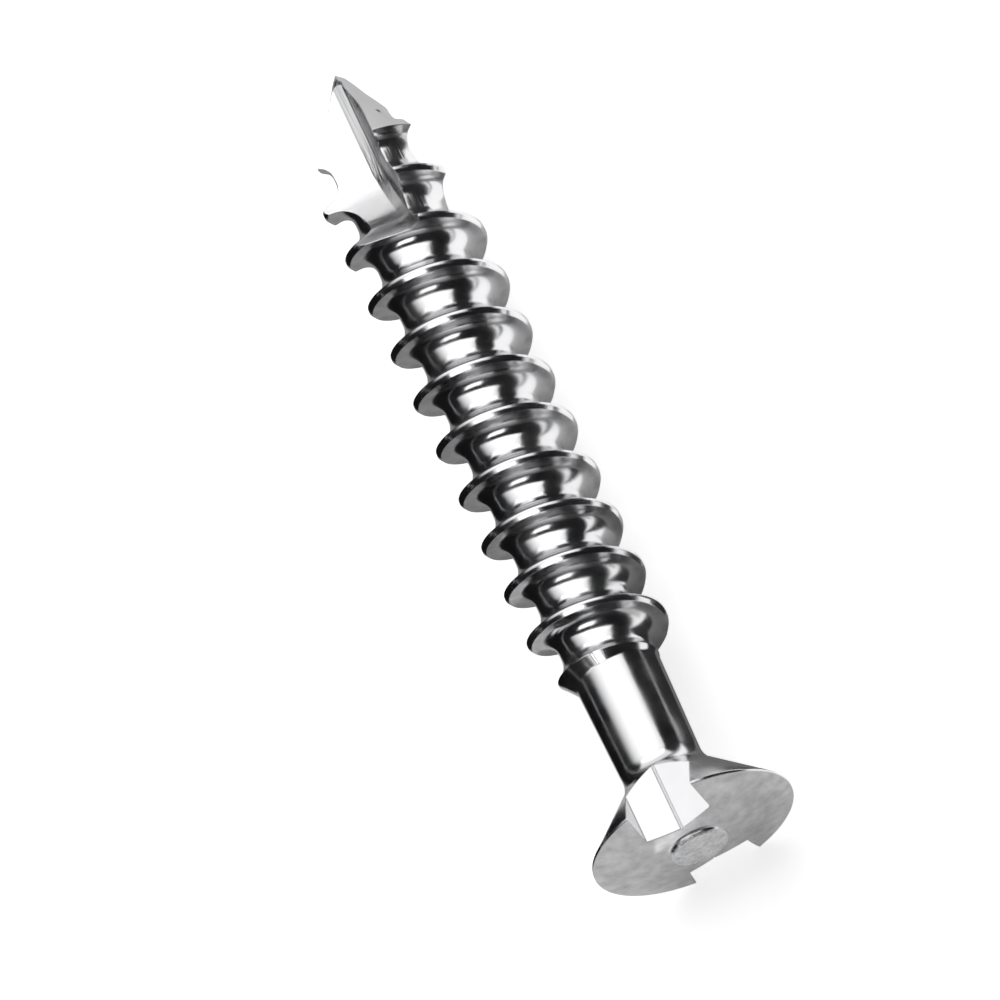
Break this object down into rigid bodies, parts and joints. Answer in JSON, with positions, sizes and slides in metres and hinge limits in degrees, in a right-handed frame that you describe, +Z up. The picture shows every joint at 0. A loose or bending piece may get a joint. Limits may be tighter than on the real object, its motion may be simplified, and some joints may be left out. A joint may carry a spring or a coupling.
{
  "type": "osteotomy screw",
  "caption": "Self-drilling bone screw with a countersunk head, opposite drive notches, plain neck, deep buttress thread and fluted point.",
  "frame": {"origin": "bottom centre of the lying screw's bounding box, on the floor", "axes": "+X along the lying screw from its point to its head, +Z up from the floor; the screw's own axis rises 2.38 degrees towards the head"},
  "size_m": [0.0162, 0.0038, 0.0035],
  "materials": {
    "implant_steel": "mirror polished"
  },
  "bodies": {
    "root": {"screw": "implant_steel"}
  },
  "joints": []
}
